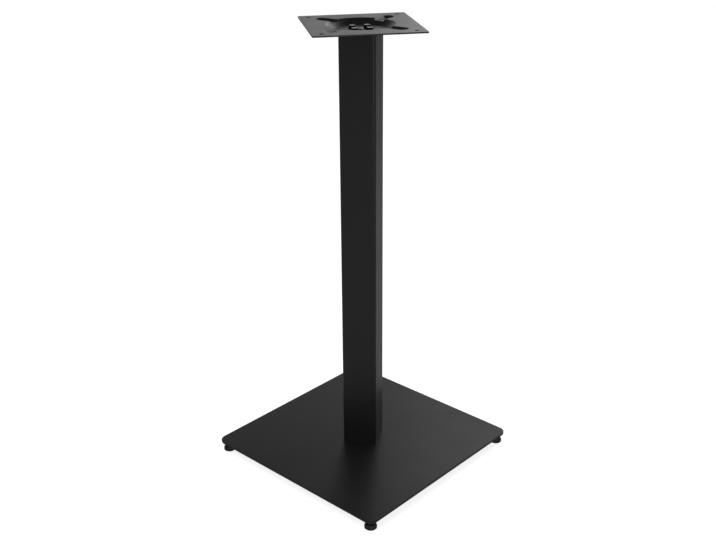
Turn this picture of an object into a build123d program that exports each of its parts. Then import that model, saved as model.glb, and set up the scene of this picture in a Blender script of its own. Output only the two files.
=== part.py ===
from build123d import *

import os
from math import cos, pi, radians, sin, sqrt, tan

# Bar table base: square base plate on four levelling feet, square tube column and pressed top
# plate. Millimetres, +Z up, origin on the floor under the middle of the column. The base plate
# lies square to X and Y; the column and the top plate are turned about Z as they stand.

# Base plate
BASE_SIDE = 500.0
BASE_THICKNESS = 6.0
BASE_CORNER = 20.0
BASE_EDGE_BREAK = 0.5

# Levelling feet: a stud turns in a boss under the plate and carries a pad on its disc end
FOOT_INSET = 19.0
PAD_RADIUS = 14.0
PAD_BAND = 5.5
PAD_SHOULDER_RADIUS = 12.0
PAD_HEIGHT = 11.8
PAD_EDGE = 0.8
PAD_FLOOR = 3.0
SOLE_RADIUS = 10.0
SOLE_DEPTH = 0.8
DISC_RADIUS = 5.6
DISC_HEIGHT = 4.5
NECK_RADIUS = 4.2
NECK_HEIGHT = 1.5
LIP_THICKNESS = 0.9
STUD_HEX = 13.0
STUD_HEX_HEIGHT = 3.4
STUD_RADIUS = 4.0
STUD_CHAMFER = 0.8
BOSS_RADIUS = 11.0
BOSS_HEIGHT = 9.0
BOSS_CHAMFER = 1.0
BOSS_BEAD = 2.5
FOOT_TRAVEL_IN = 0.8
STOP_CLEARANCE = 0.2
BLIND_DEPTH = 4.2
TIP_CLEARANCE = 1.2

# Column
TUBE_SIDE = 80.0
TUBE_WALL = 2.0
TUBE_CORNER = 6.0
COLUMN_LENGTH = 980.0
COLUMN_TURN = 29.0

# Top plate, pressed from sheet
TOP_SIDE = 235.0
TOP_SHEET = 3.0
TOP_CORNER = 4.0
TOP_TURN = 52.5
RECESS_DEPTH = 12.0
RECESS_RUN = 16.0
RECESS_MARGIN = 4.0
RECESS_GROW = 0.8
EAR_DEPTH = 4.5
EAR_CENTRE = 102.0
EAR_RADIUS = 14.0
EAR_SLOPE = 42.0
PRESS_SECTIONS = 7
PRESS_WAVE_START = radians(20)
SCREW_HOLE_INSET = 20.5
SCREW_HOLE_RADIUS = 5.0

# Bolts that hold the top plate to the head plate
BOLT_EDGE_DISTANCE = 14.8
BOLT_RADIUS = 4.0
BOLT_LENGTH = 16.0
BOLT_HOLE_RADIUS = 4.5
BOLT_HEX = 13.0
BOLT_HEX_HEIGHT = 5.3
BOLT_CHAMFER = 0.8
BOLT_HEAD_TURN = 17.0
BOLT_WASHER_RADIUS = 8.0
BOLT_WASHER_THICKNESS = 1.6
BOLT_WASHER_BORE = 4.2

# Head plate, foot locator and the rod that ties the base plate, tube and top plate together
DISC_TUBE_CLEARANCE = 0.6
HEAD_PLATE_THICKNESS = 8.0
LOCATOR_THICKNESS = 5.0
DISC_CHAMFER = 0.8
ROD_RADIUS = 5.0
ROD_CHAMFER = 1.0
ROD_PROUD_TOP = 3.0
ROD_PROUD_BOTTOM = 3.5
ROD_HOLE_RADIUS = 5.5
ROD_TOP_HOLE_RADIUS = 7.0
ROD_HEX = 17.0
ROD_NUT_HEIGHT = 8.0
ROD_WASHER_RADIUS = 15.0
ROD_WASHER_THICKNESS = 2.5
ROD_WASHER_BORE = 5.25
SPRING_WASHER_RADIUS = 9.0
SPRING_WASHER_THICKNESS = 2.2
SPRING_WASHER_GAP = 1.6
SPRING_WASHER_SLANT = 25.0

# Fits
RUNNING_CLEARANCE = 0.05
SEAT_CLEARANCE = 0.3
SOCKET_CLEARANCE = 0.1
HEX_CHAMFER_ANGLE = 30.0
SPANNER_ROOM = 0.6

# Heights above the floor
disc_bottom = PAD_FLOOR
disc_top = disc_bottom + DISC_HEIGHT
hex_bottom = disc_top + NECK_HEIGHT
hex_top = hex_bottom + STUD_HEX_HEIGHT
lip_bottom = disc_top + SEAT_CLEARANCE
lip_top = lip_bottom + LIP_THICKNESS
boss_bottom = hex_top + FOOT_TRAVEL_IN + STOP_CLEARANCE
base_bottom = boss_bottom + BOSS_HEIGHT
base_top = base_bottom + BASE_THICKNESS
stud_top = base_bottom + BLIND_DEPTH - TIP_CLEARANCE
column_top = base_top + COLUMN_LENGTH
recess_floor = column_top + TOP_SHEET
plate_top = recess_floor + RECESS_DEPTH

# Plan sizes that follow from others
foot_reach = BASE_SIDE / 2 - FOOT_INSET
tube_inner = TUBE_SIDE / 2 - TUBE_WALL
disc_radius = tube_inner - DISC_TUBE_CLEARANCE
floor_radius = TUBE_SIDE / sqrt(2) - TUBE_CORNER * (sqrt(2) - 1) + RECESS_MARGIN
rim_radius = floor_radius + RECESS_RUN
screw_hole_reach = TOP_SIDE / 2 - SCREW_HOLE_INSET
bolt_reach = (disc_radius - BOLT_EDGE_DISTANCE) / sqrt(2)
corner_signs = [(1, 1), (-1, 1), (-1, -1), (1, -1)]


def level(height, turn=0.0):
    """Horizontal plane at a height, turned about Z by an angle in degrees."""
    return Plane((0, 0, height), x_dir=(cos(radians(turn)), sin(radians(turn)), 0), z_dir=(0, 0, 1))


def level_at(x, y, height):
    """Horizontal plane at a height, centred on a spot of the plan."""
    return Plane((x, y, height), x_dir=(1, 0, 0), z_dir=(0, 0, 1))


def upright(x=0.0, y=0.0):
    """Vertical plane through a spot of the plan: across is the radius, up is the height."""
    return Plane((x, y, 0), x_dir=(1, 0, 0), z_dir=(0, -1, 0))


def turned(x, y, angle):
    """A spot of the plan, turned about the column's axis by an angle in degrees."""
    c = cos(radians(angle))
    s = sin(radians(angle))
    return (x * c - y * s, x * s + y * c)


def spin(x, y, points, mode=Mode.ADD):
    """Turned form: radius and height points about the vertical axis through a spot."""
    with BuildSketch(upright(x, y)) as section:
        with BuildLine():
            Polyline(*points, close=True)
        make_face()
    revolve(section.sketch, axis=Axis((x, y, 0), (0, 0, 1)), mode=mode)


def drum(x, y, bottom, top, radius, chamfer_bottom, chamfer_top):
    """Round bar on end, with a chamfer at each end."""
    points = [(0, bottom), (radius - chamfer_bottom, bottom), (radius, bottom + chamfer_bottom)]
    points += [(radius, top - chamfer_top), (radius - chamfer_top, top), (0, top)]
    spin(x, y, list(dict.fromkeys(points)))


def drill(x, y, bottom, top, radius):
    """Round hole between two heights."""
    with BuildSketch(level_at(x, y, bottom)) as section:
        Circle(radius)
    extrude(section.sketch, amount=top - bottom, mode=Mode.SUBTRACT)


def hexagon(x, y, bottom, height, across_flats, turn, crown_bottom=False):
    """First step of a piece: a hexagon turned down in a cone at its top corners, or at both ends."""
    corner = across_flats / sqrt(3)
    drop = (corner - across_flats / 2) * tan(radians(HEX_CHAMFER_ANGLE))
    top = bottom + height
    with BuildSketch(level_at(x, y, bottom)) as section:
        RegularPolygon(radius=across_flats / 2, side_count=6, major_radius=False, rotation=turn)
    extrude(section.sketch, amount=height)
    points = [(0, bottom), (across_flats / 2 if crown_bottom else corner, bottom)]
    if crown_bottom:
        points.append((corner, bottom + drop))
    points += [(corner, top - drop), (across_flats / 2, top), (0, top)]
    spin(x, y, points, mode=Mode.INTERSECT)


def between(start, end, share):
    """Value at a share of the way from start to end."""
    return start + (end - start) * share


def pressed_wall(face, rim, floor, depth):
    """Points down a pressed wall, as radius and height, from the rim in a face to the floor."""
    points = []
    for step in range(PRESS_SECTIONS):
        inward = step / (PRESS_SECTIONS - 1)
        wave = between(PRESS_WAVE_START, pi - PRESS_WAVE_START, inward)
        drop = depth * (1 - cos(wave) / cos(PRESS_WAVE_START)) / 2
        points.append((between(rim, floor, inward), face - drop))
    return points


def save(builder, name):
    """Label a finished piece and write it."""
    builder.part.label = name
    export_step(builder.part, f"parts/{name}.step")


os.makedirs("parts", exist_ok=True)

# Base plate: flat steel plate, drilled for the rod and, from below, for the ends of the studs
with BuildPart() as base_plate:
    with BuildSketch(level(base_bottom)):
        RectangleRounded(BASE_SIDE, BASE_SIDE, BASE_CORNER)
    extrude(amount=BASE_THICKNESS)
    chamfer(faces().sort_by(Axis.Z)[-1].edges() + faces().sort_by(Axis.Z)[0].edges(), BASE_EDGE_BREAK)
    drill(0, 0, base_bottom, base_top, ROD_HOLE_RADIUS)
    for across, along in corner_signs:
        drill(
            across * foot_reach,
            along * foot_reach,
            base_bottom,
            base_bottom + BLIND_DEPTH,
            STUD_RADIUS + RUNNING_CLEARANCE,
        )
save(base_plate, "base_plate")

# Levelling feet, one under each corner of the base plate
for number, (across, along) in enumerate(corner_signs, start=1):
    x = across * foot_reach
    y = along * foot_reach

    # Boss: turned steel, welded all round to the underside of the plate and tapped
    with BuildPart() as foot_boss:
        drum(x, y, boss_bottom, base_bottom, BOSS_RADIUS, BOSS_CHAMFER, 0)
        bead_points = [(0, base_bottom - BOSS_BEAD), (BOSS_RADIUS, base_bottom - BOSS_BEAD)]
        bead_points += [(BOSS_RADIUS + BOSS_BEAD, base_bottom), (0, base_bottom)]
        spin(x, y, bead_points)
        drill(x, y, boss_bottom, base_bottom, STUD_RADIUS + RUNNING_CLEARANCE)
    save(foot_boss, f"foot_boss_{number}")

    # Stud: disc end held in the pad, neck, spanner hexagon and thread
    with BuildPart() as foot_stud:
        hexagon(x, y, hex_bottom, STUD_HEX_HEIGHT, STUD_HEX, 0, crown_bottom=True)
        drum(x, y, disc_bottom, disc_top, DISC_RADIUS, 0, 0)
        drum(x, y, disc_top, hex_bottom, NECK_RADIUS, 0, 0)
        drum(x, y, hex_top, stud_top, STUD_RADIUS, 0, STUD_CHAMFER)
    save(foot_stud, f"foot_stud_{number}")

    # Pad: moulded nylon with a snap lip over the stud's disc and a hollow sole
    with BuildPart() as foot_pad:
        outside = [(0, 0), (PAD_RADIUS - PAD_EDGE, 0), (PAD_RADIUS, PAD_EDGE)]
        outside += [(PAD_RADIUS, PAD_BAND), (PAD_SHOULDER_RADIUS, PAD_HEIGHT - PAD_EDGE)]
        outside += [(PAD_SHOULDER_RADIUS - PAD_EDGE, PAD_HEIGHT), (0, PAD_HEIGHT)]
        spin(x, y, outside)
        drill(x, y, 0, SOLE_DEPTH, SOLE_RADIUS)
        drill(x, y, disc_bottom, lip_bottom, DISC_RADIUS + SOCKET_CLEARANCE)
        drill(x, y, lip_bottom, lip_top, NECK_RADIUS + SEAT_CLEARANCE)
        drill(x, y, lip_top, PAD_HEIGHT, STUD_HEX / sqrt(3) + SPANNER_ROOM)
    save(foot_pad, f"foot_pad_{number}")

# Column: square tube with rounded corners, cut square at both ends
with BuildPart() as column_tube:
    with BuildSketch(level(base_top, COLUMN_TURN)):
        RectangleRounded(TUBE_SIDE, TUBE_SIDE, TUBE_CORNER)
        RectangleRounded(2 * tube_inner, 2 * tube_inner, TUBE_CORNER - TUBE_WALL, mode=Mode.SUBTRACT)
    extrude(amount=COLUMN_LENGTH)
save(column_tube, "column_tube")

# Foot locator: round disc on the base plate that centres the tube's lower end
with BuildPart() as foot_locator:
    drum(0, 0, base_top, base_top + LOCATOR_THICKNESS, disc_radius, 0, DISC_CHAMFER)
    drill(0, 0, base_top, base_top + LOCATOR_THICKNESS, ROD_HOLE_RADIUS)
save(foot_locator, "foot_locator")

# Head plate: round disc inside the tube's upper end, tapped for the rod and the four bolts
bolt_spots = [turned(a * bolt_reach, b * bolt_reach, TOP_TURN) for a, b in corner_signs]
head_bottom = column_top - HEAD_PLATE_THICKNESS
with BuildPart() as head_plate:
    drum(0, 0, head_bottom, column_top, disc_radius, DISC_CHAMFER, DISC_CHAMFER)
    drill(0, 0, head_bottom, column_top, ROD_RADIUS + RUNNING_CLEARANCE)
    for x, y in bolt_spots:
        drill(x, y, head_bottom, column_top, BOLT_RADIUS + RUNNING_CLEARANCE)
save(head_plate, "head_plate")

# Top plate: sheet pressed into a round well, with four shallow ears that run out towards the
# corners. The well's wall follows the middle of a half cosine wave, on both faces of the sheet.
with BuildPart() as top_plate:
    with BuildSketch(level(plate_top - TOP_SHEET, TOP_TURN)):
        RectangleRounded(TOP_SIDE, TOP_SIDE, TOP_CORNER)
    extrude(amount=TOP_SHEET)
    for grow, face, how in ((RECESS_GROW, plate_top - TOP_SHEET, Mode.ADD), (0, plate_top, Mode.SUBTRACT)):
        wall = pressed_wall(face, rim_radius + grow, floor_radius + grow, RECESS_DEPTH)
        with BuildSketch(Plane.XZ) as well:
            with BuildLine():
                Spline(*wall)
                Polyline(wall[-1], (0, wall[-1][1]), (0, face), wall[0])
            make_face()
        revolve(well.sketch, axis=Axis.Z, mode=how)
        for diagonal in (45, 135):
            with BuildSketch(level(face, TOP_TURN)) as ears:
                SlotCenterToCenter(2 * EAR_CENTRE, 2 * (EAR_RADIUS + grow), rotation=diagonal)
            extrude(ears.sketch, amount=-EAR_DEPTH, taper=EAR_SLOPE, mode=how)
    for x, y in bolt_spots:
        drill(x, y, column_top, recess_floor, BOLT_HOLE_RADIUS)
    drill(0, 0, column_top, recess_floor, ROD_TOP_HOLE_RADIUS)
    for a, b in corner_signs:
        x, y = turned(a * screw_hole_reach, b * screw_hole_reach, TOP_TURN)
        drill(x, y, plate_top - TOP_SHEET, plate_top, SCREW_HOLE_RADIUS)
save(top_plate, "top_plate")

# Bolts and washers in the recess
head_base = recess_floor + BOLT_WASHER_THICKNESS
for number, (x, y) in enumerate(bolt_spots, start=1):
    with BuildPart() as top_washer:
        drum(x, y, recess_floor, head_base, BOLT_WASHER_RADIUS, 0, 0)
        drill(x, y, recess_floor, head_base, BOLT_WASHER_BORE)
    save(top_washer, f"top_washer_{number}")

    with BuildPart() as top_bolt:
        hexagon(x, y, head_base, BOLT_HEX_HEIGHT, BOLT_HEX, TOP_TURN + number * BOLT_HEAD_TURN)
        drum(x, y, head_base - BOLT_LENGTH, head_base, BOLT_RADIUS, BOLT_CHAMFER, 0)
    save(top_bolt, f"top_bolt_{number}")

# Tie rod with its lock nut under the head plate, and washers and nut under the base plate
washer_bottom = base_bottom - ROD_WASHER_THICKNESS
spring_bottom = washer_bottom - SPRING_WASHER_THICKNESS
nut_bottom = spring_bottom - ROD_NUT_HEIGHT
rod_bottom = nut_bottom - ROD_PROUD_BOTTOM
rod_top = recess_floor + ROD_PROUD_TOP
with BuildPart() as tie_rod:
    drum(0, 0, rod_bottom, rod_top, ROD_RADIUS, ROD_CHAMFER, ROD_CHAMFER)
save(tie_rod, "tie_rod")

for name, bottom in (("rod_lock_nut", head_bottom - ROD_NUT_HEIGHT), ("rod_nut", nut_bottom)):
    with BuildPart() as nut:
        hexagon(0, 0, bottom, ROD_NUT_HEIGHT, ROD_HEX, 0, crown_bottom=True)
        drill(0, 0, bottom, bottom + ROD_NUT_HEIGHT, ROD_RADIUS + RUNNING_CLEARANCE)
    save(nut, name)

with BuildPart() as rod_washer:
    drum(0, 0, washer_bottom, base_bottom, ROD_WASHER_RADIUS, 0, 0)
    drill(0, 0, washer_bottom, base_bottom, ROD_WASHER_BORE)
save(rod_washer, "rod_washer")

# Spring washer: a ring cut through on the slant
with BuildPart() as rod_spring_washer:
    drum(0, 0, spring_bottom, washer_bottom, SPRING_WASHER_RADIUS, 0, 0)
    drill(0, 0, spring_bottom, washer_bottom, ROD_WASHER_BORE)
    middle = (SPRING_WASHER_RADIUS, 0, (spring_bottom + washer_bottom) / 2)
    with BuildSketch(Plane(middle, x_dir=(0, 1, 0), z_dir=(1, 0, 0))):
        Rectangle(SPRING_WASHER_GAP, 2 * SPRING_WASHER_RADIUS, rotation=SPRING_WASHER_SLANT)
    extrude(amount=SPRING_WASHER_RADIUS, both=True, mode=Mode.SUBTRACT)
save(rod_spring_washer, "rod_spring_washer")
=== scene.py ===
# Bar table base: a square steel floor plate on four levelling feet, a square tube column and a
# pressed top plate, powder coated black. Metres, +Z up, origin on the floor under the column.
from math import cos, pi, radians, sin, sqrt, tan

import bpy
from mathutils import Matrix, Vector


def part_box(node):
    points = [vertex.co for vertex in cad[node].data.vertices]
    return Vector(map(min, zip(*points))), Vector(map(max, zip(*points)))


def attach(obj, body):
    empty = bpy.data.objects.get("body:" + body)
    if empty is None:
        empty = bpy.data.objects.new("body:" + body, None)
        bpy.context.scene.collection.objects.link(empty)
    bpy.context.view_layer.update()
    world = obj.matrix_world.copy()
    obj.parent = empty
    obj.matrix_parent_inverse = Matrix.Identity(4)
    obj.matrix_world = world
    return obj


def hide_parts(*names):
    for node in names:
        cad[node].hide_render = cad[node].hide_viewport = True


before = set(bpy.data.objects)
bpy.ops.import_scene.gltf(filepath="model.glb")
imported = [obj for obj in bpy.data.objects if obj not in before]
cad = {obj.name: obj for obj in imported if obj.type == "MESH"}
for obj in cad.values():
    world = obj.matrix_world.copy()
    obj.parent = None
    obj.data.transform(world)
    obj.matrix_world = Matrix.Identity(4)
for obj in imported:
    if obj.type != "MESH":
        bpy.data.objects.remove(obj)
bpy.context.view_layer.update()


# Base plate
# Half metre square of 6 mm steel, cut with rounded corners and broken edges, then sprayed with
# black powder and baked. The coat dries satin, with a fine orange peel, and thins on the edges.
POWDER_BLACK = (0.0085, 0.0085, 0.0088, 1)
POWDER_THIN = (0.018, 0.018, 0.019, 1)
PEEL_DEPTH = 0.00003
GRAIN_FINENESS = 5.0
GRAIN_SHARE = 0.25
EDGE_SOFTNESS = 0.0007


def shader_node(tree, kind, inputs=(), **fields):
    """Place a shader node, set its fields, and give each named input a value or a link."""
    made = tree.nodes.new("ShaderNode" + kind)
    for field, value in fields.items():
        setattr(made, field, value)
    for socket, value in dict(inputs).items():
        if isinstance(value, bpy.types.NodeSocket):
            tree.links.new(value, made.inputs[socket])
        else:
            made.inputs[socket].default_value = value
    return made


def arithmetic(tree, operation, *terms, **fields):
    """Arithmetic on numbers and links; gives back the result's socket."""
    return shader_node(tree, "Math", enumerate(terms), operation=operation, **fields).outputs[0]


def noise(tree, spot, scale, detail):
    """Soft random pattern at a spot, from 0 to 1."""
    pattern = {"Vector": spot, "Scale": scale, "Detail": detail}
    return shader_node(tree, "TexNoise", pattern).outputs["Fac"]


def effect(name, inputs, outputs):
    """New node group with named inputs, each with its plain number, and named outputs."""
    group = bpy.data.node_groups.new(name, "ShaderNodeTree")
    for label, value in inputs.items():
        socket = group.interface.new_socket(label, in_out="INPUT", socket_type="NodeSocketFloat")
        socket.default_value = value
    for label, kind in outputs.items():
        group.interface.new_socket(label, in_out="OUTPUT", socket_type="NodeSocket" + kind)
    given = group.nodes.new("NodeGroupInput").outputs
    result = group.nodes.new("NodeGroupOutput").inputs
    return group, given, result


# Peel and cloud: the skin of a sprayed or moulded surface, from fine lumps to broad drifts
skin, given, result = effect(
    "peel_and_cloud",
    {"Peel size": 0.0024, "Cloud size": 0.09, "Roughness": 0.4, "Drift": 0.05},
    {"Height": "Float", "Roughness": "Float", "Cloud": "Float"},
)
spot = shader_node(skin, "TexCoord").outputs["Object"]
peel_scale = arithmetic(skin, "DIVIDE", 1.0, given["Peel size"])
grain_scale = arithmetic(skin, "MULTIPLY", peel_scale, GRAIN_FINENESS)
cloud_scale = arithmetic(skin, "DIVIDE", 1.0, given["Cloud size"])
peel = noise(skin, spot, peel_scale, detail=2.0)
grain = noise(skin, spot, grain_scale, detail=1.0)
cloud = noise(skin, spot, cloud_scale, detail=4.0)
lumps = shader_node(skin, "Mix", {"Factor": GRAIN_SHARE, "A": peel, "B": grain})
drift = arithmetic(skin, "SUBTRACT", cloud, 0.5)
drift = arithmetic(skin, "MULTIPLY_ADD", drift, given["Drift"], given["Roughness"])
skin.links.new(lumps.outputs["Result"], result["Height"])
skin.links.new(drift, result["Roughness"])
skin.links.new(cloud, result["Cloud"])

# Edge line: how far a spot is rounded over at an edge, and the normal of the softened edge
edge, given, result = effect("edge_line", {"Gain": 3.0}, {"Mask": "Float", "Normal": "Vector"})
flat_normal = shader_node(edge, "NewGeometry").outputs["Normal"]
soft_normal = shader_node(edge, "Bevel", {"Radius": EDGE_SOFTNESS}, samples=6).outputs["Normal"]
facing = shader_node(edge, "VectorMath", {0: flat_normal, 1: soft_normal}, operation="DOT_PRODUCT")
turned_away = arithmetic(edge, "SUBTRACT", 1.0, facing.outputs["Value"])
edge_mask = arithmetic(edge, "MULTIPLY", turned_away, given["Gain"], use_clamp=True)
edge.links.new(edge_mask, result["Mask"])
edge.links.new(soft_normal, result["Normal"])


def place_effect(tree, group, inputs):
    """Put a finished effect into a material with its own values."""
    made = shader_node(tree, "Group", node_tree=group)
    for socket, value in inputs.items():
        made.inputs[socket].default_value = value
    return made.outputs


def new_finish(name, plain, changed, skin_values, lump_depth, edge_gain=0.0, metallic=0.0):
    """New material with the skin's roughness and lumps. A metal changes colour with the cloud,
    anything else on its edges; an edge gain of 0 leaves the edges hard."""
    made = bpy.data.materials.new(name)
    made.use_nodes = True
    tree = made.node_tree
    shader = tree.nodes["Principled BSDF"]
    uneven = place_effect(tree, skin, skin_values)
    lumps = {"Strength": 1.0, "Distance": lump_depth, "Height": uneven["Height"]}
    if edge_gain:
        softened = place_effect(tree, edge, {"Gain": edge_gain})
        lumps["Normal"] = softened["Normal"]
    mask = uneven["Cloud"] if metallic else softened["Mask"]
    colour = shader_node(tree, "Mix", {"Factor": mask, "A": plain, "B": changed}, data_type="RGBA")
    bump = shader_node(tree, "Bump", lumps)
    shader.inputs["Metallic"].default_value = metallic
    tree.links.new(colour.outputs["Result"], shader.inputs["Base Color"])
    tree.links.new(uneven["Roughness"], shader.inputs["Roughness"])
    tree.links.new(bump.outputs["Normal"], shader.inputs["Normal"])
    return made


def coat_nodes(finish, *names):
    """Give CAD nodes a finish in the slot that they came with."""
    for name in names:
        cad[name].data.materials.clear()
        cad[name].data.materials.append(finish)


powder_skin = {"Peel size": 0.0024, "Cloud size": 0.09, "Roughness": 0.36, "Drift": 0.12}
powder = new_finish(
    "satin_black_powder", POWDER_BLACK, POWDER_THIN, powder_skin, PEEL_DEPTH, edge_gain=2.5
)
coat_nodes(powder, "base_plate")


# Foot bosses
# Turned steel collars, tapped M8 and welded all round to the underside of the base plate, then
# coated with it. The weld bead is laid in short steps, which leave ripples in the coat.
FEET = (1, 2, 3, 4)
BOSS_WALL = 0.00695
BOSS_CHAMFER = 0.001
BORE_CHAMFER = 0.0006
BEAD = 0.0025
BEAD_RINGS = 6
BEAD_STEPS = 26
BEAD_RIPPLE = 0.00022
BEAD_HOLLOW = 0.00035
BEAD_LAP = 2.2
BOSS_SIDES = 96
SHARP_EDGE = radians(32)


def ring_stack(name, centre, rings, sides, finish, body, node):
    """Closed mesh of rings round a vertical axis, which replaces a CAD node. A ring is a height
    and a radius, or a function that gives both at an angle. The ends are capped, unless the last
    ring is the first one, which makes a collar."""
    looped = rings[0] == rings[-1]
    if looped:
        rings = rings[:-1]
    points = []
    for ring in rings:
        for k in range(sides):
            angle = 2 * pi * k / sides
            height, radius = ring(angle) if callable(ring) else ring
            points.append((centre.x + radius * cos(angle), centre.y + radius * sin(angle), height))
    faces = []
    for row in range(len(rings) - (0 if looped else 1)):
        low = row * sides
        high = (row + 1) % len(rings) * sides
        for k in range(sides):
            n = (k + 1) % sides
            faces.append((low + k, low + n, high + n, high + k))
    if not looped:
        for row in (0, len(rings) - 1):
            start = row * sides
            tip = len(points)
            height = sum(point[2] for point in points[start:start + sides]) / sides
            points.append((centre.x, centre.y, height))
            for k in range(sides):
                a, b = start + k, start + (k + 1) % sides
                faces.append((b, a, tip) if row == 0 else (a, b, tip))
    mesh = bpy.data.meshes.new(name)
    mesh.from_pydata(points, [], faces)
    mesh.validate()
    mesh.materials.append(finish)
    mesh.shade_smooth()
    mesh.set_sharp_from_angle(angle=SHARP_EDGE)
    made = bpy.data.objects.new(name, mesh)
    bpy.context.collection.objects.link(made)
    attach(made, body)
    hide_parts(node)
    return made


def middle(node):
    """Middle of a CAD node's box."""
    low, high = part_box(node)
    return (low + high) / 2


def weld_bead(share, reach, top):
    """Ring of the bead, from the boss at share 0 out to the plate at share 1."""
    def at(angle):
        ripple = BEAD_RIPPLE * sin(BEAD_STEPS * angle + BEAD_LAP * share)
        bulge = (ripple - BEAD_HOLLOW) * sin(pi * share)
        return top - BEAD * (1 - share), reach + BEAD * share + bulge
    return at


for foot in FEET:
    node = f"foot_boss_{foot}"
    low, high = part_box(node)
    outer = (high.x - low.x) / 2 - BEAD
    bore = outer - BOSS_WALL
    rings = [(low.z + BORE_CHAMFER, bore), (low.z, bore + BORE_CHAMFER)]
    rings += [(low.z, outer - BOSS_CHAMFER), (low.z + BOSS_CHAMFER, outer)]
    rings += [weld_bead(k / (BEAD_RINGS - 1), outer, high.z) for k in range(BEAD_RINGS)]
    rings += [(high.z, bore), rings[0]]
    boss = ring_stack(f"welded_boss_{foot}", middle(node), rings, BOSS_SIDES, powder, "frame", node)


# Column
# Square steel tube with rolled corners, sawn off square and clamped between the two plates.
# It has the base plate's coat.
coat_nodes(powder, "column_tube")


# Top plate
# Three millimetre sheet, blanked, pierced and pressed in one stroke: a round well for the bolts,
# with four shallow ears towards the corners that stiffen the sheet. It has the same coat.
coat_nodes(powder, "top_plate")


# Top bolts and washers
# Four M8 hexagon bolts on plain washers draw the top plate down on the head plate. They are
# steel with a black zinc plating, smooth but a little uneven in its shine.
BLACK_ZINC = (0.018, 0.018, 0.019, 1)
BLACK_ZINC_DULL = (0.006, 0.006, 0.0062, 1)
PLATING_DEPTH = 0.000008


def zinc_plating(name, bright, dull, roughness, drift):
    """Finish of plated steel: a metal whose colour and shine drift a little over the piece."""
    plated = {"Peel size": 0.0011, "Cloud size": 0.004, "Roughness": roughness, "Drift": drift}
    return new_finish(name, dull, bright, plated, PLATING_DEPTH, edge_gain=2.0, metallic=1.0)


black_zinc = zinc_plating("black_zinc", BLACK_ZINC, BLACK_ZINC_DULL, roughness=0.24, drift=0.15)
for bolt in (1, 2, 3, 4):
    coat_nodes(black_zinc, f"top_bolt_{bolt}", f"top_washer_{bolt}")


# Tie rod and its nuts
# M10 rod, threaded at both ends, that pulls the base plate, tube and head plate together. It has
# plain bright zinc plating, as its nuts and washers have.
BRIGHT_ZINC = (0.52, 0.53, 0.55, 1)
BRIGHT_ZINC_DULL = (0.32, 0.32, 0.33, 1)
ROD_PITCH = 0.0015
ROD_THREAD_DEPTH = 0.0009
ROD_THREAD_LENGTH = 0.03
ROD_RUNOUT = 0.0005
ROD_CHAMFER = 0.001
ROD_SIDES = 40
THREAD_STEP = 0.125
THREAD_FLANK = 2.4
THREAD_CREST = 0.1


def thread_rings(low, high, radius, pitch, depth, chamfer_low=0.0, chamfer_high=0.0):
    """Rings of a right-hand screw thread between two heights, pointed at its chamfered ends."""
    def ring(z):
        def at(angle):
            turn = (z / pitch - angle / (2 * pi)) % 1.0
            cut = min(1.0, max(0.0, THREAD_FLANK * abs(turn - 0.5) - THREAD_CREST))
            limit = radius
            if chamfer_low:
                limit = min(limit, radius - chamfer_low + max(0.0, z - low))
            if chamfer_high:
                limit = min(limit, radius - chamfer_high + max(0.0, high - z))
            return z, min(radius - depth * cut, limit)
        return at
    count = max(2, round((high - low) / (pitch * THREAD_STEP)))
    return [ring(low + (high - low) * k / count) for k in range(count + 1)]


bright_zinc = zinc_plating("bright_zinc", BRIGHT_ZINC, BRIGHT_ZINC_DULL, roughness=0.3, drift=0.2)
low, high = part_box("tie_rod")
rod_radius = (high.x - low.x) / 2
shank_low = low.z + ROD_THREAD_LENGTH
shank_high = high.z - ROD_THREAD_LENGTH
rod_thread = (rod_radius, ROD_PITCH, ROD_THREAD_DEPTH)
rings = thread_rings(low.z, shank_low, *rod_thread, chamfer_low=ROD_CHAMFER)
rings += [(shank_low + ROD_RUNOUT, rod_radius), (shank_high - ROD_RUNOUT, rod_radius)]
rings += thread_rings(shank_high, high.z, *rod_thread, chamfer_high=ROD_CHAMFER)
rod = ring_stack(
    "threaded_tie_rod", middle("tie_rod"), rings, ROD_SIDES, bright_zinc, "frame", "tie_rod"
)
coat_nodes(bright_zinc, "rod_lock_nut", "rod_nut", "rod_washer", "rod_spring_washer")


# Head plate and foot locator
# Discs cut from plain bar and drilled, out of sight in the ends of the tube. They stay bare, with
# a film of oil that makes their shine uneven.
MILL_STEEL = (0.3, 0.3, 0.31, 1)
MILL_STEEL_DULL = (0.16, 0.155, 0.15, 1)
MILL_MARK_DEPTH = 0.00001

mill_skin = {"Peel size": 0.0016, "Cloud size": 0.02, "Roughness": 0.42, "Drift": 0.3}
mill = new_finish(
    "oiled_mill_steel", MILL_STEEL_DULL, MILL_STEEL, mill_skin, MILL_MARK_DEPTH, metallic=1.0
)
coat_nodes(mill, "head_plate", "foot_locator")


# Foot studs
# M8 levelling studs with a right-hand thread and a forged spanner hexagon, zinc plated. Their disc
# ends snap into the pads; a stud rides up or down as it is turned.
DISC_RADIUS = 0.0056
DISC_HEIGHT = 0.0045
DISC_EDGE = 0.0003
NECK_RADIUS = 0.0042
NECK_HEIGHT = 0.0015
HEX_HEIGHT = 0.0034
HEX_CONE = radians(30)
HEX_CONE_STEPS = 4
STUD_RADIUS = 0.004
STUD_PITCH = 0.00125
STUD_THREAD_DEPTH = 0.00068
STUD_UNDERCUT = 0.0002
STUD_CHAMFER = 0.0008
STUD_SIDES = 48


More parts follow.
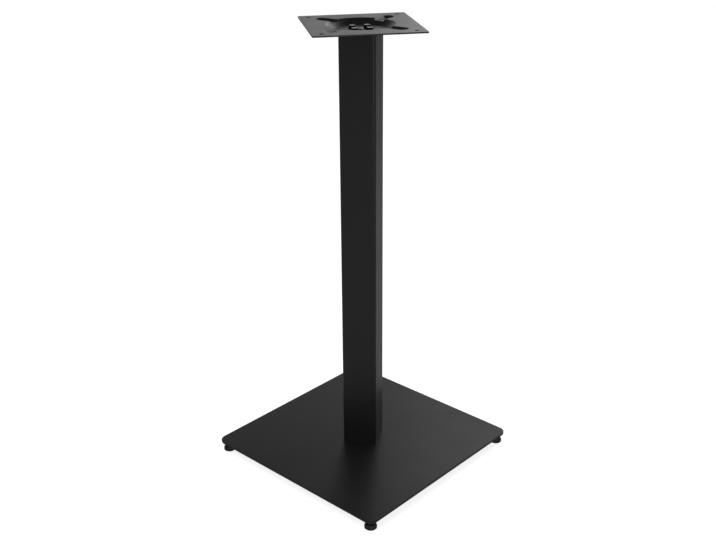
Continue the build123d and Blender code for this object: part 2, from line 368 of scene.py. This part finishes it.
def hexagon_rings(low, high, flats):
    """Rings of a hexagon whose corners are turned down in a cone at both ends."""
    corner = flats / sqrt(3)
    drop = (corner - flats / 2) * tan(HEX_CONE)

    def ring(z):
        def at(angle):
            side = flats / 2 / cos((angle + pi / 6) % (pi / 3) - pi / 6)
            cone = flats / 2 + min(z - low, high - z) / tan(HEX_CONE)
            return z, min(side, cone)
        return at
    steps = [drop * k / HEX_CONE_STEPS for k in range(HEX_CONE_STEPS + 1)]
    return [ring(low + step) for step in steps] + [ring(high - step) for step in reversed(steps)]


for foot in FEET:
    node = f"foot_stud_{foot}"
    low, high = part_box(node)
    disc_top = low.z + DISC_HEIGHT
    hex_low = disc_top + NECK_HEIGHT
    hex_high = hex_low + HEX_HEIGHT
    rings = [(low.z, DISC_RADIUS - DISC_EDGE), (low.z + DISC_EDGE, DISC_RADIUS)]
    rings += [(disc_top - DISC_EDGE, DISC_RADIUS), (disc_top, DISC_RADIUS - DISC_EDGE)]
    rings += [(disc_top, NECK_RADIUS), (hex_low, NECK_RADIUS)]
    rings += hexagon_rings(hex_low, hex_high, flats=high.y - low.y)
    rings += [(hex_high, STUD_RADIUS - STUD_THREAD_DEPTH)]
    stud_thread = (STUD_RADIUS, STUD_PITCH, STUD_THREAD_DEPTH)
    rings += thread_rings(hex_high + STUD_UNDERCUT, high.z, *stud_thread, chamfer_high=STUD_CHAMFER)
    name = f"threaded_stud_{foot}"
    stud = ring_stack(name, middle(node), rings, STUD_SIDES, bright_zinc, f"stud_{foot}", node)


# Foot pads
# Black nylon, moulded in one piece: a band that stands on the floor, a shoulder, and a snap lip
# over the stud's disc. The mould leaves a fine, even grain.
NYLON = (0.008, 0.008, 0.0085, 1)
NYLON_RUBBED = (0.02, 0.02, 0.021, 1)
NYLON_GRAIN_DEPTH = 0.000012

nylon_skin = {"Peel size": 0.0005, "Cloud size": 0.012, "Roughness": 0.46, "Drift": 0.12}
nylon = new_finish(
    "moulded_nylon", NYLON, NYLON_RUBBED, nylon_skin, NYLON_GRAIN_DEPTH, edge_gain=2.5
)
for foot in FEET:
    coat_nodes(nylon, f"foot_pad_{foot}")


# Studio floor
# Pale matt sheet that runs out to the horizon. The camera sees it as white paper, apart from the
# soft shadow of the base; glossy parts mirror its own grey.
FLOOR_HALF = 30
FLOOR_PALE = (0.42, 0.42, 0.42, 1)
FLOOR_LIFT = 0.84

sheet = bpy.data.meshes.new("studio_floor")
corners = [(a * FLOOR_HALF, b * FLOOR_HALF, 0) for a, b in ((-1, -1), (1, -1), (1, 1), (-1, 1))]
sheet.from_pydata(corners, [], [(0, 1, 2, 3)])
floor = bpy.data.objects.new("studio_floor", sheet)
bpy.context.collection.objects.link(floor)
paper = bpy.data.materials.new("studio_floor")
paper.use_nodes = True
tree = paper.node_tree
tree.nodes.clear()
ray = shader_node(tree, "LightPath").outputs
seen = arithmetic(tree, "MAXIMUM", ray["Is Camera Ray"], ray["Is Transmission Ray"])
matt = shader_node(tree, "BsdfDiffuse", {"Color": FLOOR_PALE})
lift = shader_node(tree, "Emission", {"Strength": arithmetic(tree, "MULTIPLY", seen, FLOOR_LIFT)})
both = shader_node(tree, "AddShader", {0: matt.outputs[0], 1: lift.outputs[0]})
shader_node(tree, "OutputMaterial", {"Surface": both.outputs[0]})
sheet.materials.append(paper)


# Studio light
# White paper all round under a dark open roof, and four soft lamps. Glossy parts mirror the paper
# brighter low down and on one side; the camera sees it as plain white.
WHITE = (1, 1, 1, 1)
SKY_LIGHT = 0.4
GLOW_BY_HEIGHT = ((0.0, 0.85), (0.17, 0.8), (0.34, 0.565), (0.48, 0.33), (0.6, 0.03), (1.0, 0.0))
BRIGHT_SIDE = radians(90)
SIDE_REACH = 0.85
DIM_SIDE_SHARE = 0.5
BRIGHT_SIDE_SHARE = 1.15
LAMP_AIM = Vector((0, 0, 0.5))

world = bpy.data.worlds.new("studio_light")
bpy.context.scene.world = world
world.use_nodes = True
sky = world.node_tree
sky.nodes.clear()
ray = shader_node(sky, "LightPath").outputs
direction = shader_node(sky, "TexCoord").outputs["Generated"]
up = shader_node(sky, "SeparateXYZ", {0: direction}).outputs["Z"]
glow_ramp = shader_node(sky, "ValToRGB", {"Fac": up})
stops = glow_ramp.color_ramp.elements
while len(stops) < len(GLOW_BY_HEIGHT):
    stops.new(1.0)
for stop, (height, glow) in zip(stops, GLOW_BY_HEIGHT):
    stop.position = height
    stop.color = (glow, glow, glow, 1)
bright_way = (cos(BRIGHT_SIDE), sin(BRIGHT_SIDE), 0)
side = shader_node(sky, "VectorMath", {0: direction, 1: bright_way}, operation="DOT_PRODUCT")
side = shader_node(sky, "MapRange", {
    "Value": side.outputs["Value"],
    "From Min": 0.0,
    "From Max": SIDE_REACH,
    "To Min": DIM_SIDE_SHARE,
    "To Max": BRIGHT_SIDE_SHARE,
})
paper_glow = {"Color": glow_ramp.outputs["Color"], "Strength": side.outputs["Result"]}
mirrored = shader_node(sky, "Background", paper_glow).outputs[0]
even = shader_node(sky, "Background", {"Color": WHITE, "Strength": SKY_LIGHT}).outputs[0]
white = shader_node(sky, "Background", {"Color": WHITE, "Strength": 1.0}).outputs[0]
seen = arithmetic(sky, "MAXIMUM", ray["Is Camera Ray"], ray["Is Transmission Ray"])
lit = shader_node(sky, "MixShader", {0: ray["Is Glossy Ray"], 1: even, 2: mirrored})
shown = shader_node(sky, "MixShader", {0: seen, 1: lit.outputs[0], 2: white})
shader_node(sky, "OutputWorld", {"Surface": shown.outputs[0]})


def soft_lamp(name, azimuth, elevation, distance, size, watts, mirrored=True):
    """Soft lamp that hangs in a direction from the column and points at its middle."""
    data = bpy.data.lights.new(name, "AREA")
    data.shape = "RECTANGLE"
    data.size, data.size_y = size
    data.energy = watts
    lamp = bpy.data.objects.new(name, data)
    a, e = radians(azimuth), radians(elevation)
    lamp.location = LAMP_AIM + distance * Vector((cos(a) * cos(e), sin(a) * cos(e), sin(e)))
    lamp.rotation_euler = (LAMP_AIM - lamp.location).to_track_quat("-Z", "Y").to_euler()
    lamp.visible_camera = False
    lamp.visible_glossy = mirrored
    bpy.context.collection.objects.link(lamp)


soft_lamp("rear_softbox", 116, 31, distance=3.5, size=(1.3, 1.3), watts=6)
soft_lamp("right_softbox", 78, 34, distance=3.2, size=(1.2, 1.2), watts=14)
soft_lamp("floor_softbox", 322, -2, distance=4.0, size=(2.0, 0.6), watts=10)
soft_lamp("top_softbox", 270, 62, distance=3.0, size=(2.2, 2.2), watts=38, mirrored=False)

scene = bpy.context.scene
scene.view_settings.view_transform = "Standard"


# Camera
# It stands off the near corner of the base plate, a little higher than the top plate, and looks
# down past it at the middle of the column.
CAMERA_PLACE = Vector((1.4754, -1.6167, 1.4133))
CAMERA_AIM = Vector((0.1696, -0.1987, 0.5803))
CAMERA_ROLL = radians(-0.435)
FOCAL_PIXELS = 1044.8
PICTURE_WIDTH = 716
SENSOR_WIDTH = 36

photographer = bpy.data.cameras.new("photographer")
photographer.sensor_width = SENSOR_WIDTH
photographer.lens = SENSOR_WIDTH * FOCAL_PIXELS / PICTURE_WIDTH
camera = bpy.data.objects.new("photographer", photographer)
bpy.context.collection.objects.link(camera)
looking = (CAMERA_AIM - CAMERA_PLACE).to_track_quat("-Z", "Y").to_matrix().to_4x4()
roll = Matrix.Rotation(CAMERA_ROLL, 4, "Z")
camera.matrix_world = Matrix.Translation(CAMERA_PLACE) @ looking @ roll
scene.camera = camera
